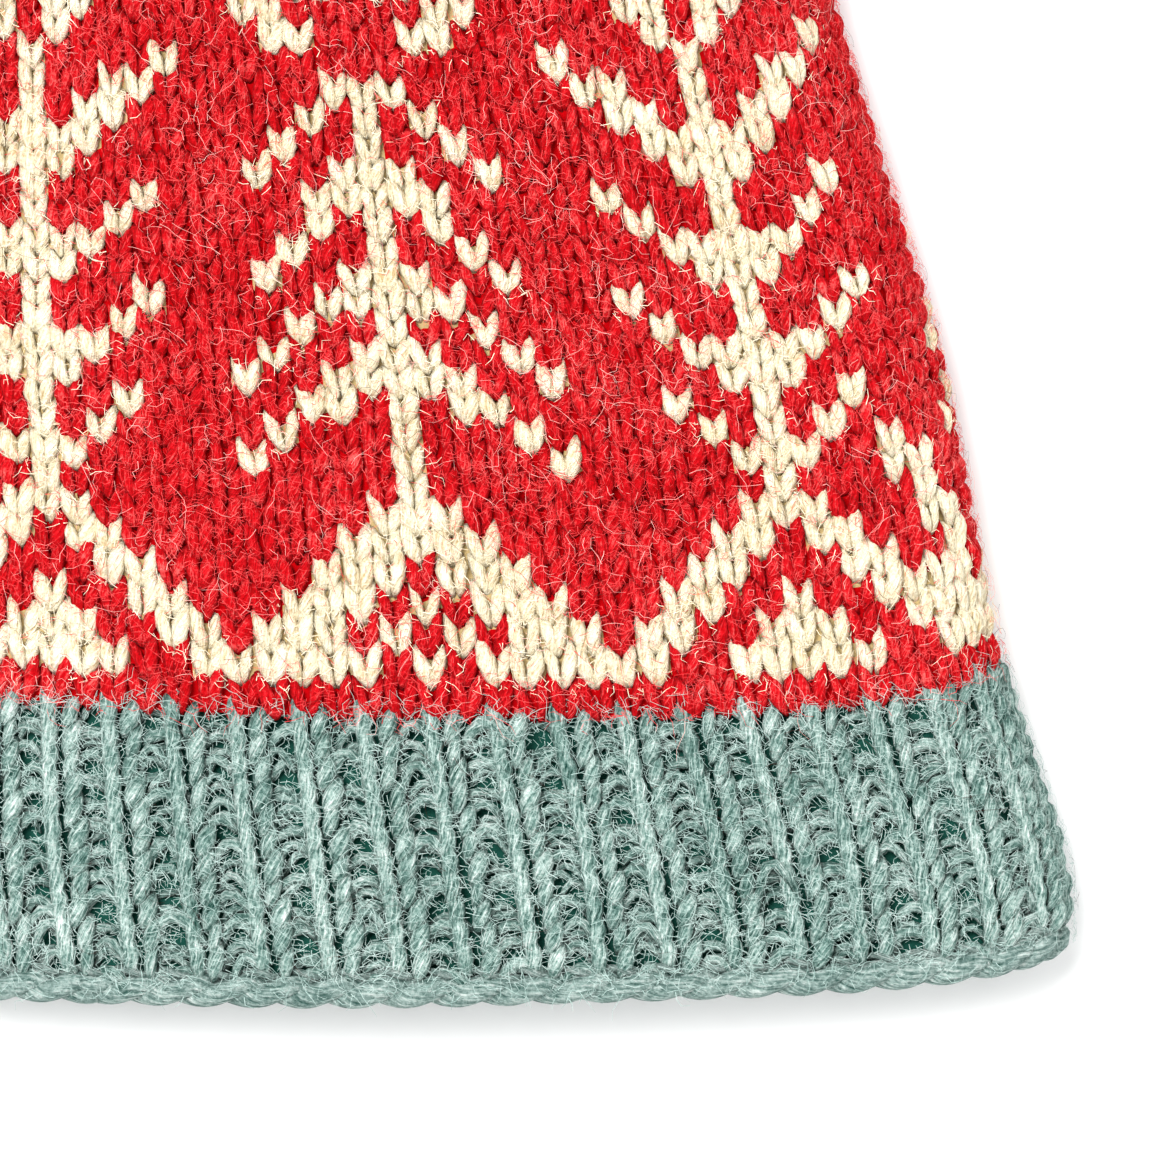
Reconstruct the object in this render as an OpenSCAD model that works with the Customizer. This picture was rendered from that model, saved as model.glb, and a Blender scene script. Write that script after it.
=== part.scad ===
// A pair of knitted mittens with long flared gauntlets, lying flat on their palms.
// X runs across the pair, Y from the cuffs to the finger tips, Z up from the table. Millimetres.

/* [Gauntlet and hand] */
// half the flat width at the cast-on edge
cuff_half_w = 55.6; // [45:0.1:65]
// half the flat width where the ribbing ends
rib_half_w = 54.3; // [45:0.1:65]
// half the flat width at the wrist
wrist_half_w = 44.6; // [38:0.1:55]
// half the flat width across the palm
hand_half_w = 47.5; // [40:0.1:60]
// height of the ribbed cuff
rib_len = 28; // [15:0.5:60]
// distance from the cast-on edge to the wrist
wrist_at = 98; // [60:1:140]
// distance from the cast-on edge to the finger fold
fold_at = 176; // [140:1:210]
// distance from the cast-on edge to where the tip decreases start
tip_at = 232; // [200:1:250]
// length from the cast-on edge to the finger tip
total_len = 268; // [230:1:320]
// sideways lean of the gauntlet, as a slope
lean = 0.13; // [0:0.01:0.2]
// radius of the folded side edges
side_r = 8; // [5:0.5:12]
// extra puff in the middle of the back
crown = 6; // [0:0.5:12]
// thickness of the two-strand knitted wall
wall = 2.2; // [1.2:0.1:4]
// thickness of the layer of loose strands inside
float_t = 0.6; // [0.3:0.1:1.5]
// distance from the middle of the pair to the middle of each cuff
spread = 116; // [80:1:160]

/* [Ribbed cuff] */
// stitches around the cuff
stitches = 80; // [48:4:120]
// height of a rib above the mean surface
rib_h = 0.6; // [0:0.1:1.5]
// diameter of the rolled cast-on edge
edge_d = 3.6; // [2:0.1:6]

/* [Thumb] */
// distance of the thumb root from the centre line
thumb_x = 66.5; // [50:0.5:80]
// distance of the thumb root from the cast-on edge
thumb_y = 148; // [120:1:180]
// angle between the thumb and the hand, degrees
thumb_angle = 16; // [0:1:45]
// half the flat width of the thumb
thumb_half_w = 16; // [11:0.5:20]
// length of the thumb from its root
thumb_len = 50; // [35:1:70]
// radius of the curved seam at the thumb root
seam_r = 17.6; // [16:0.1:25]
// gap kept between parts that bend against each other
clearance = 0.4; // [0.2:0.05:1]

/* [Hidden] */
arc_n = 9;
flat_n = 8;
ring_n = 2 * arc_n + 2 * flat_n;
tip_r = 5;
gore_y = 100;
gore_w = 14;
gore_x = 28;
edge_dip = 0.58;
mid_y = (total_len - edge_dip) / 2;
thumb_r = 7.5;
fold_gap = 0.3;
settle = 0.3;

WOOL_GREY = [0.45, 0.56, 0.56];
WOOL_RED = [0.72, 0.06, 0.10];
WOOL_CREAM = [0.90, 0.86, 0.72];

// Half width of the mitten at a distance s from the cast-on edge.
function half_w(s) = lookup(s, [
  [0, cuff_half_w], [rib_len, rib_half_w], [rib_len + 7, rib_half_w - 1.8],
  [wrist_at - 6, wrist_half_w + 0.2], [wrist_at + 4, wrist_half_w],
  [wrist_at + 26, hand_half_w - 1], [wrist_at + 50, hand_half_w],
  [fold_at, hand_half_w - 0.5], [tip_at - 26, hand_half_w - 4],
  [tip_at, hand_half_w - 14], [tip_at + 18, hand_half_w - 25],
  [total_len - 8, 12], [total_len - 2.5, 6.5], [total_len, 2.6]
]);

// Radius of the folded side edge, smaller toward the finger tip.
function edge_r(s) = lookup(s, [
  [0, side_r - 0.5], [wrist_at, side_r], [tip_at, side_r],
  [total_len - 8, tip_r], [total_len - 2.5, 3.6], [total_len, 1.4]
]);

// Puff of the back, zero at the finger tip.
function puff(s) = lookup(s, [
  [0, crown - 1], [wrist_at, crown], [tip_at, crown - 0.5], [total_len - 8, 1.2], [total_len, 0.4]
]);

// Sideways position of the centre line: the gauntlet leans, the hand runs straight.
function centre_x(s) = s < wrist_at ? -lean * s
  : -lean * (wrist_at + (min(s, wrist_at + 50) - wrist_at)
  * (1 - (min(s, wrist_at + 50) - wrist_at) / 100));

// Curl of a row of stitches: its ends run toward the finger tips.
function row_curl(e, s) = s < rib_len
  ? (1 - s / rib_len) * (0.5 * e * e + 1.6 * e + 5 * pow(e, 8)) + s / rib_len * curl(e)
  : curl(e) * max(0, min(1, 1 - (s - wrist_at) / 50));
function curl(e) = 2.2 * e * e - 0.5 * e + 3.3 * pow(e, 8);

// Point i on a flattened ring, as [x, z]: straight top and bottom, round sides, low side at z = 0.
function ring_point(i, w, r, puff_h, inset) =
  let(
    f = w - r,
    q = r - inset,
    k = i % ring_n,
    p = k < flat_n ? [-f + 2 * f * k / flat_n, q]
      : k < flat_n + arc_n
      ? [f + q * sin((k - flat_n) * 180 / arc_n), q * cos((k - flat_n) * 180 / arc_n)]
      : k < 2 * flat_n + arc_n
      ? [f - 2 * f * (k - flat_n - arc_n) / flat_n, -q]
      : [-f - q * sin((k - 2 * flat_n - arc_n) * 180 / arc_n),
         -q * cos((k - 2 * flat_n - arc_n) * 180 / arc_n)],
    e = p[0] / w,
    lift = puff_h * (1 - e * e) * max(0, (p[1] / q + 1) / 2)
  )
  [p[0], r + p[1] + lift];

// Ring of the mitten body at distance s, moved in from the outside by inset.
function body_ring(s, inset) = [
  for (i = [0:ring_n - 1])
  let(p = ring_point(i, half_w(s), edge_r(s), puff(s), inset))
  [centre_x(s) + p[0], s + row_curl(p[0] / half_w(s), s), p[1]]
];

// Faces that join a stack of rings into a closed skin, flipped for an inside skin.
function skin_faces(rings, n, first, flip) = [
  for (j = [0:rings - 2], i = [0:n - 1])
  let(
    a = first + j * n + i,
    b = first + j * n + (i + 1) % n,
    c = a + n,
    d = b + n
  )
  each flip ? [[a, b, d], [a, d, c]] : [[a, d, b], [a, c, d]]
];

// Faces of the flat annulus between ring a and ring b.
function rim_faces(n, a, b, flip) = [
  for (i = [0:n - 1])
  let(j = (i + 1) % n)
  each flip ? [[a + i, b + j, a + j], [a + i, b + i, b + j]]
            : [[a + i, a + j, b + j], [a + i, b + j, b + i]]
];

// Faces that close one ring with a fan.
function lid_faces(n, first, flip) = [
  for (i = [1:n - 2])
  flip ? [first, first + i, first + i + 1] : [first, first + i + 1, first + i]
];

// Wall between two stacks of rings, open at both ends.
module tube(outer, inner) {
  rings = len(outer);
  n = len(outer[0]);
  polyhedron(
    points = [for (r = outer) each r, for (r = inner) each r],
    faces = concat(
      skin_faces(rings, n, 0, false),
      skin_faces(rings, n, rings * n, true),
      rim_faces(n, 0, rings * n, false),
      rim_faces(n, (rings - 1) * n, (2 * rings - 1) * n, true)
    )
  );
}

// Solid stack of rings with both ends closed.
module plug(rings) {
  n = len(rings[0]);
  polyhedron(
    points = [for (r = rings) each r],
    faces = concat(
      skin_faces(len(rings), n, 0, false),
      lid_faces(n, 0, true),
      lid_faces(n, (len(rings) - 1) * n, false)
    )
  );
}

// Cup: a wall open at its first ring and closed at its last.
module cup(outer, inner) {
  rings = len(outer);
  n = len(outer[0]);
  polyhedron(
    points = [for (r = outer) each r, for (r = inner) each r],
    faces = concat(
      skin_faces(rings, n, 0, false),
      skin_faces(rings, n, rings * n, true),
      rim_faces(n, 0, rings * n, false),
      lid_faces(n, (rings - 1) * n, false),
      lid_faces(n, (2 * rings - 1) * n, true)
    )
  );
}

module body_tube(stations, inset, thick) {
  tube(
    [for (s = stations) body_ring(s, inset)],
    [for (s = stations) body_ring(s, inset + thick)]
  );
}

// Point at distance a along the thumb and across by c, at height z.
function thumb_point(a, c, z) = [
  centre_x(thumb_y) - thumb_x - a * sin(thumb_angle) + c * cos(thumb_angle),
  thumb_y + a * cos(thumb_angle) + c * sin(thumb_angle),
  z
];

// Curved seam at the thumb root: an arc about the root, so the thumb can swing in it.
function seam(c, r) = -sqrt(max(r * r - c * c, 1));

// Thumb ring at u of the way from the seam to the tip.
function thumb_ring(u, w, r, inset) = [
  for (i = [0:ring_n - 1])
  let(p = ring_point(i, w, r, 2.5 * (1.15 - u * u), inset))
  thumb_point((1 - u) * seam(p[0], seam_r) + u * thumb_len, p[0], p[1])
];

// Gore ring at u of the way from inside the hand to the seam.
function gore_ring(u, inset) = [
  for (i = [0:ring_n - 1])
  let(
    w = gore_w * (1 - u) + thumb_half_w * u,
    p = ring_point(i, w, thumb_r, 2.5, inset),
    root = [centre_x(gore_y) - gore_x + p[0], gore_y, p[1]],
    mouth = thumb_point(seam(p[0], seam_r + clearance), p[0], p[1])
  )
  root * (1 - u) + mouth * u
];

thumb_u = [0, 0.3, 0.55, 0.72];
tip_u = [0.72, 0.86, 0.95, 1];
function thumb_w(u) = lookup(u, [
  [0, thumb_half_w], [0.55, thumb_half_w - 1], [0.72, thumb_half_w - 2],
  [0.86, thumb_half_w - 4.5], [0.95, thumb_half_w - 8], [1, 3]
]);
function thumb_edge(u) = lookup(u, [[0, thumb_r], [0.72, thumb_r - 0.5], [0.95, 4.2], [1, 2.4]]);

module place_right() {
  translate([spread, -mid_y, 0]) children();
}

module place_left() {
  mirror([1, 0, 0]) place_right() children();
}

// Rolled edge that starts the knitting, following the mouth of the cuff.
module cast_on_edge() {
  n = 96;
  m = 8;
  r = edge_d / 2;
  ring = [
    for (i = [0:n - 1])
    let(
      q = i * ring_n / n,
      k = floor(q),
      t = q - k,
      a = ring_point(k, half_w(r), edge_r(r), puff(r), r),
      b = ring_point(k + 1, half_w(r), edge_r(r), puff(r), r)
    )
    a * (1 - t) + b * t
  ];
  polyhedron(
    points = [
      for (i = [0:n - 1], j = [0:m - 1])
      let(
        e = ring[i][0] / half_w(r),
        d = ring[(i + 1) % n] - ring[(i + n - 1) % n],
        out = [-d[1], d[0]] / norm(d),
        a = j * 360 / m
      )
      [
        centre_x(r) + ring[i][0] + r * cos(a) * out[0],
        r + row_curl(e, r) + r * sin(a),
        ring[i][1] + r * cos(a) * out[1]
      ]
    ],
    faces = [
      for (i = [0:n - 1], j = [0:m - 1])
      let(
        i2 = (i + 1) % n,
        j2 = (j + 1) % m
      )
      each [[i * m + j, i2 * m + j2, i * m + j2], [i * m + j, i2 * m + j, i2 * m + j2]]
    ]
  );
}

// Cuff in single rib: a ridge for every second stitch, a furrow between.
module ribbed_cuff() {
  n = 2 * stitches;
  stations = [edge_d, edge_d + 10, rib_len];
  function rib_ring(s, inset, h) =
    let(
      w = half_w(s),
      r = edge_r(s),
      q = r - inset,
      flat = 2 * (w - r),
      side = PI * q,
      total = 2 * flat + 2 * side
    )
    [
      for (i = [0:n - 1])
      let(
        a = (i / n * total + flat / 2) % total,
        ridge = h * (i % 4 == 0 ? 1 : i % 4 == 2 ? -1 : 0),
        p = a < flat ? [a - flat / 2, q, 0]
          : a < flat + side ? [flat / 2, 0, (a - flat) / side * 180]
          : a < 2 * flat + side ? [flat / 2 - (a - flat - side), -q, 0]
          : [-flat / 2, 0, 180 + (a - 2 * flat - side) / side * 180],
        low = p[1] < 0,
        x = p[1] != 0 ? p[0] : p[0] + (q + ridge) * sin(p[2]),
        z = p[1] != 0 ? p[1] + (low ? 0 : ridge) : (q + min(ridge, 4 * q)) * cos(p[2]),
        e = max(-1, min(1, x / w)),
        lift = puff(s) * (1 - e * e) * max(0, min(1, (z / q + 1) / 2))
      )
      [centre_x(s) + x, s + row_curl(e, s), max(0, r + z + lift)]
    ];
  tube(
    [for (s = stations) rib_ring(s, rib_h, rib_h)],
    [for (s = stations) rib_ring(s, wall, 0)]
  );
}

// Two-strand patterned gauntlet, settled a little into the table and cut level there.
module gauntlet() {
  difference() {
    translate([0, 0, -settle])
    body_tube([rib_len, rib_len + 7, rib_len + 28, wrist_at - 20, wrist_at - 6, wrist_at], 0, wall);
    translate([-100, 0, -5]) cube([200, total_len, 5]);
  }
}

// Loose strands carried behind the pattern, as one thin inner layer.
module gauntlet_floats() {
  translate([0, 0, -settle])
  body_tube([rib_len + 2, rib_len + 7, rib_len + 28, wrist_at - 20, wrist_at - 6], wall, float_t);
}

hand_stations = [wrist_at, wrist_at + 4, wrist_at + 26, wrist_at + 50, fold_at];

// Hand from the wrist to the knuckles, with the hole the thumb is knitted onto.
module hand() {
  difference() {
    body_tube(hand_stations, 0, wall);
    plug([for (u = [0, 0.5, 1]) gore_ring(u, wall)]);
  }
}

// Gore that widens from the side of the hand to the thumb root.
module thumb_gore() {
  difference() {
    tube([for (u = [0, 0.5, 1]) gore_ring(u, 0)], [for (u = [0, 0.5, 1]) gore_ring(u, wall)]);
    plug([for (s = [wrist_at - 6, wrist_at + 4, wrist_at + 26, wrist_at + 50, fold_at])
      body_ring(s, 0)]);
  }
}

module thumb() {
  tube(
    [for (u = thumb_u) thumb_ring(u, thumb_w(u), thumb_edge(u), 0)],
    [for (u = thumb_u) thumb_ring(u, thumb_w(u), thumb_edge(u), wall)]
  );
}

// Rounded end of the thumb, where the last stitches are drawn together.
module thumb_tip() {
  cup(
    [for (u = tip_u) thumb_ring(u, thumb_w(u), thumb_edge(u), 0)],
    [for (u = tip_u)
      thumb_ring(min(u, 0.94), thumb_w(min(u, 0.94)) - (u > 0.94 ? 5 - (1 - u) * 60 : 0),
        thumb_edge(min(u, 0.94)), wall)]
  );
}

finger_stations = [fold_at + fold_gap, fold_at + 15, tip_at - 26, tip_at - 12, tip_at];

// Finger section beyond the fold across the knuckles.
module fingers() {
  body_tube(finger_stations, 0, wall);
}

// Finger tip, where the decreases draw the knitting to a point.
module finger_tip() {
  stations = [tip_at, tip_at + 9, tip_at + 18, total_len - 8, total_len - 2.5, total_len];
  inner = [tip_at, tip_at + 9, tip_at + 18, total_len - 10, total_len - 6, total_len - 4.5];
  cup([for (s = stations) body_ring(s, 0)], [for (s = inner) body_ring(s, wall)]);
}

module right_cast_on_edge() color(WOOL_GREY) place_right() cast_on_edge();
module right_ribbed_cuff() color(WOOL_GREY) place_right() ribbed_cuff();
module right_gauntlet() color(WOOL_RED) place_right() gauntlet();
module right_gauntlet_floats() color(WOOL_CREAM) place_right() gauntlet_floats();
module right_hand() color(WOOL_RED) place_right() hand();
module right_thumb_gore() color(WOOL_RED) place_right() thumb_gore();
module right_thumb() color(WOOL_RED) place_right() thumb();
module right_thumb_tip() color(WOOL_RED) place_right() thumb_tip();
module right_fingers() color(WOOL_RED) place_right() fingers();
module right_finger_tip() color(WOOL_RED) place_right() finger_tip();
module left_cast_on_edge() color(WOOL_GREY) place_left() cast_on_edge();
module left_ribbed_cuff() color(WOOL_GREY) place_left() ribbed_cuff();
module left_gauntlet() color(WOOL_RED) place_left() gauntlet();
module left_gauntlet_floats() color(WOOL_CREAM) place_left() gauntlet_floats();
module left_hand() color(WOOL_RED) place_left() hand();
module left_thumb_gore() color(WOOL_RED) place_left() thumb_gore();
module left_thumb() color(WOOL_RED) place_left() thumb();
module left_thumb_tip() color(WOOL_RED) place_left() thumb_tip();
module left_fingers() color(WOOL_RED) place_left() fingers();
module left_finger_tip() color(WOOL_RED) place_left() finger_tip();

right_cast_on_edge();
right_ribbed_cuff();
right_gauntlet();
right_gauntlet_floats();
right_hand();
right_thumb_gore();
right_thumb();
right_thumb_tip();
right_fingers();
right_finger_tip();
left_cast_on_edge();
left_ribbed_cuff();
left_gauntlet();
left_gauntlet_floats();
left_hand();
left_thumb_gore();
left_thumb();
left_thumb_tip();
left_fingers();
left_finger_tip();
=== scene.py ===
"""A pair of stranded-knit mittens with flared gauntlets, lying flat on their palms.

Lengths inside the shape functions are millimetres along a mitten laid flat: c counts stitch
columns round the knitting (column 12 is the middle of the back), s is the distance from the
cast-on edge and h the height above the surface of the knitting. Every stitch is two legs of yarn
that follow those surfaces. Meshes are in metres in the row frame.
"""
import math

import bpy
import numpy as np
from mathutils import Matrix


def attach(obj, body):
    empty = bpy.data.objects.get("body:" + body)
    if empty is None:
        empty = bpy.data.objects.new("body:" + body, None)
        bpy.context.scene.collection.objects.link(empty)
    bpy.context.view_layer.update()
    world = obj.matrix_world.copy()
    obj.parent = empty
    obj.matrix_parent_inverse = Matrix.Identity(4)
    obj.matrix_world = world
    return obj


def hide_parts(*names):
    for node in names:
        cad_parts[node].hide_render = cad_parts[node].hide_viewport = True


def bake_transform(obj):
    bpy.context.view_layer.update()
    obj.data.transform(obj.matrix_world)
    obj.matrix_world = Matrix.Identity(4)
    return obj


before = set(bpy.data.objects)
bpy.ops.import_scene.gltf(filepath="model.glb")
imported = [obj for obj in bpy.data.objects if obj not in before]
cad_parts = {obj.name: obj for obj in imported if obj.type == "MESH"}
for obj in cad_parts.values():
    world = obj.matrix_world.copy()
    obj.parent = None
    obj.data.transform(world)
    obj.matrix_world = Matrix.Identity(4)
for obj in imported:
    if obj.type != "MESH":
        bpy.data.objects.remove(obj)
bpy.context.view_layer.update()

MM = 0.001
TAU = 2 * math.pi

# ---------------------------------------------------------------- sizes of one mitten
TOTAL_LEN = 268.0
EDGE_DIP = 0.58
MID_Y = (TOTAL_LEN - EDGE_DIP) / 2
SPREAD = 116.0
RIB_LEN = 28.0
WRIST_AT = 98.0
FOLD_AT = 176.0
DECREASE_AT = 204.0
COLUMNS = 80
MIDDLE = 12
COLUMN_WIDTH = 2.7
EDGE_SPREAD = 0.0036
HAND_OFF = 16.0
TOP_Z = 22.0
FOLD_REACH = 14.0

THUMB_AT = 148.0
THUMB_OFF = 66.5
THUMB_ANGLE = math.radians(16)
THUMB_LEN = 50.0
THUMB_HALF_W = 16.0
THUMB_COLUMNS = 28
SEAM_R = 17.6
GORE_AT = 100.0
GORE_OFF = 28.0
THUMB_PATH = SEAM_R + THUMB_LEN
GORE_PATH = 36.0
THUMB_ROW = 2.5
THUMB_STITCH = 2.75
ROW_MIDDLE = 1.2

RIB_START = 2.9
RIB_ROW = 2.18
RIB_ROWS = 11
ROPE_TURN = 9.0
# Share of a column's width that a leg of yarn takes as its radius; cream yarn lies fuller than red.
RED_PLUMP = 0.225
CREAM_PLUMP = 0.255
# Outer and inner height of the wall behind the cloth, behind the ribbing and behind the thumb.
CLOTH_WALL = (-1.15, -2.3)
CUFF_WALL = (-2.6, -3.1)
THUMB_WALL = (-1.75, -2.5)
FLOAT_HEIGHT = -2.95


def profile(points, soften=4.0):
    """Value along a mitten: straight lines through the points, averaged with a bell of width soften. The
    bell reaches so many steps to each side."""
    step, steps, margin = 0.5, 40, 30.0
    s = np.arange(-margin, TOTAL_LEN + margin + step, step)
    line = np.interp(s, *zip(*points))
    bell = np.exp(-0.5 * (np.arange(-steps, steps + 1) * step / soften) ** 2)
    bell /= bell.sum()
    smooth = np.convolve(np.pad(line, steps, mode="edge"), bell, mode="valid")
    return lambda at: np.interp(at, s, smooth)


# Half width, edge radius and puff of the flattened tube, and where each row of stitches starts.
half_w = profile([(-6, 54.5), (0, 55.3), (5, 56.9), (12, 56.2), (22, 54.2), (28, 53.3), (35, 52.4),
                  (60, 50.2), (92, 44.2), (102, 44.6), (124, 46.5), (148, 47.5), (176, 47.0),
                  (206, 43.5), (232, 33.5), (250, 22.5), (262, 11), (268, 4)])
edge_r = profile([(0, 7.5), (98, 8), (232, 8), (260, 5), (268, 2.5)])
puff = profile([(0, 5), (98, 6), (232, 5.5), (260, 1.5), (268, 0.4)])
row_at = profile([(-1, 23.8), (0, 26.8), (1, 29.9), (5, 41.3), (10, 54.2), (15, 66.2), (20, 78.2),
                  (25, 90.9), (98, 268.0)], soften=0.6)


def centre_x(s):
    """The centre line: the gauntlet leans, with a dent where the ribbing ends, and the hand is straight."""
    t = np.clip(s, WRIST_AT, WRIST_AT + 50) - WRIST_AT
    dent = 0.6 * np.exp(-((s - RIB_LEN) / 14) ** 2)
    return -0.13 * np.where(s < WRIST_AT, s, WRIST_AT + t * (1 - t / 100)) - dent


def row_curl(e, s):
    """Rows of stitches sag in the middle and turn up at the sides, by powers of e, which is -1 to 1 over
    the width. The ribbing has a curl of its own, and past the wrist the curl fades."""
    side = 2.2 * e ** 2 - 0.5 * e + 3.3 * e ** 8
    mouth = 1.6 * e ** 2 + 1.0 * e + 2.4 * np.maximum(e, 0) ** 10
    k = np.clip(1 - s / RIB_LEN, 0, 1)
    fade = np.clip(1 - (s - WRIST_AT) / 50, 0, 1)
    return k * mouth + (1 - k) * side * fade


def flat_ring(u, w, r, rise, h):
    """Point at arc length u from the middle of the top of a flattened ring: flat top and bottom of
    half length w - r, round sides of radius r, the top puffed by rise; h moves it outward."""
    f = w - r
    a = np.clip((np.abs(u) - f) / r, 0, math.pi)
    on_top = np.minimum(np.abs(u), f)
    on_bottom = np.clip(np.abs(u) - f - math.pi * r, 0, None)
    x = on_top + r * np.sin(a) - on_bottom + h * np.sin(a)
    z = r * np.cos(a) + h * np.cos(a)
    x = x * np.sign(u)
    e = np.clip(x / w, -1, 1)
    return x, r + z + rise * (1 - e ** 2) * np.clip((z / r + 1) / 2, 0, 1), e


def place(x, y, z, hand):
    """Millimetres of a mitten laid flat to metres in the row frame; the left one is the mirror image."""
    return np.stack([hand * (x + SPREAD), y - MID_Y, z], -1) * MM


def girth(s):
    """Length round the flattened tube: four flats of half length and a full circle of the edge radius."""
    return 4 * (half_w(s) - edge_r(s)) + TAU * edge_r(s)


def body_surface(hand, even=False):
    """Surface of the gauntlet, hand and fingers as a function of column, distance and height. Past the
    first decrease the columns keep their pitch and run out along the two side edges; with even set
    they close up instead, which suits a plain wall."""
    def surface(c, s, h):
        """Column to an angle, angle to arc length round the ring, arc length to a point of the ring."""
        j = (c - MIDDLE + COLUMNS / 2) % COLUMNS - COLUMNS / 2
        palm = np.abs(j) > COLUMNS / 4
        j = np.where(palm, j - np.sign(j) * COLUMNS / 2, j)
        around = girth(s)
        kept = around if even else girth(np.minimum(s, DECREASE_AT))
        phi = TAU * j / COLUMNS
        u = kept * (phi / TAU + EDGE_SPREAD * np.sin(2 * phi))
        u = np.clip(u, -around / 4, around / 4)
        u = np.where(palm, u - np.sign(u + 1e-9) * around / 2, u)
        x, z, e = flat_ring(u, half_w(s), edge_r(s), puff(s), h)
        return place(centre_x(s) + x, s + row_curl(e, s), z, hand)
    return surface


def is_cream(c, s):
    """1 where the stitch over column c and distance s is cream: the row and column that lie nearest are
    looked up in the chart."""
    rows = np.round(np.interp(s, row_at(np.arange(-1, 99)), np.arange(-1, 99)) - 0.4).astype(int)
    j = (np.round(c - MIDDLE).astype(int) + COLUMNS // 2) % COLUMNS - COLUMNS // 2
    palm = np.abs(j) > COLUMNS // 4
    across = np.where(palm, COLUMNS // 2 - np.abs(j), j)
    marks = [chart(a, r, p) for a, r, p in zip(across.ravel(), rows.ravel(), palm.ravel())]
    return np.array(marks, float).reshape(np.shape(c))


def inside_decrease(c, s):
    """True where a column still has stitches at distance s."""
    j = (c - MIDDLE + COLUMNS / 2) % COLUMNS - COLUMNS / 2
    j = np.where(np.abs(j) > COLUMNS / 4, COLUMNS / 2 - np.abs(j), np.abs(j))
    return girth(np.minimum(s, DECREASE_AT)) * j / COLUMNS <= girth(s) / 4 + 0.5


def thumb_tip(out):
    """Share of the full width at out, 0 at the seam and 1 at the tip: all of it at first, then a rounded
    end."""
    closing = np.clip((out - 0.72) / 0.285, 0, 1)
    return np.sqrt(np.clip(1 - closing ** 2.4, 0, 1))


def thumb_surface(hand):
    """Surface of the thumb and its gore. v runs from -1 inside the hand to 0 at the curved seam and on to
    1 at the thumb tip; the ring at v is the flat ring swept along that path."""
    def surface(c, v, h):
        """The ring of the thumb at v, swept from the middle of the gore to the seam and along the thumb."""
        out = np.clip(v, 0, 1)
        gore = np.clip(-v, 0, 1)
        tip = thumb_tip(out)
        w = (THUMB_HALF_W - 2 * out - 2 * gore) * (0.12 + 0.88 * tip)
        r = np.minimum(7.5 * (0.3 + 0.7 * tip), w * 0.98)
        u = (4 * (w - r) + TAU * r) * (((c / THUMB_COLUMNS) + 0.5) % 1 - 0.5)
        x, z, _ = flat_ring(u, w, r, 2.5 * (1.15 - out ** 2) * tip, h)
        z = z + (1 - tip) * 4.5
        along = (1 - out) * -np.sqrt(np.maximum(SEAM_R ** 2 - x ** 2, 1)) + out * THUMB_LEN
        sin, cos = math.sin(THUMB_ANGLE), math.cos(THUMB_ANGLE)
        px = centre_x(THUMB_AT) - THUMB_OFF - along * sin + x * cos
        py = THUMB_AT + along * cos + x * sin
        root_x = centre_x(GORE_AT) - GORE_OFF + x
        return place(px * (1 - gore) + root_x * gore, py * (1 - gore) + GORE_AT * gore, z, hand)
    return surface


# ---------------------------------------------------------------- meshes
def new_piece(name, points, loops, starts, material, uv=None, tone=None, smooth=True):
    """Mesh object from whole arrays: points, the corner list and where each face starts in it."""
    mesh = bpy.data.meshes.new(name)
    mesh.vertices.add(len(points))
    mesh.vertices.foreach_set("co", points.astype(np.float32).ravel())
    mesh.loops.add(len(loops))
    mesh.loops.foreach_set("vertex_index", loops.astype(np.int32))
    mesh.polygons.add(len(starts))
    mesh.polygons.foreach_set("loop_start", starts.astype(np.int32))
    mesh.polygons.foreach_set("use_smooth", np.full(len(starts), smooth))
    if uv is not None:
        mesh.uv_layers.new(name="strand").data.foreach_set("uv", uv.astype(np.float32).ravel())
    if tone is not None:
        mesh.attributes.new("tone", "FLOAT", "POINT").data.foreach_set("value", tone.astype(np.float32))
    mesh.materials.append(material)
    mesh.update(calc_edges=True)
    mesh.validate()
    piece = bpy.data.objects.new(name, mesh)
    bpy.context.scene.collection.objects.link(piece)
    return piece


def unit(v):
    """Vectors of length one in the directions of v."""
    return v / np.maximum(np.linalg.norm(v, axis=-1, keepdims=True), 1e-12)


def arch(t, start, span, power=1.0):
    """A rise and fall over t from 0 to 1: the sine of half a turn, begun at start of it and going on for
    span of it, raised to power, which makes it flatter on top when below one."""
    return np.sin(math.pi * (start + span * t)) ** power


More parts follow.
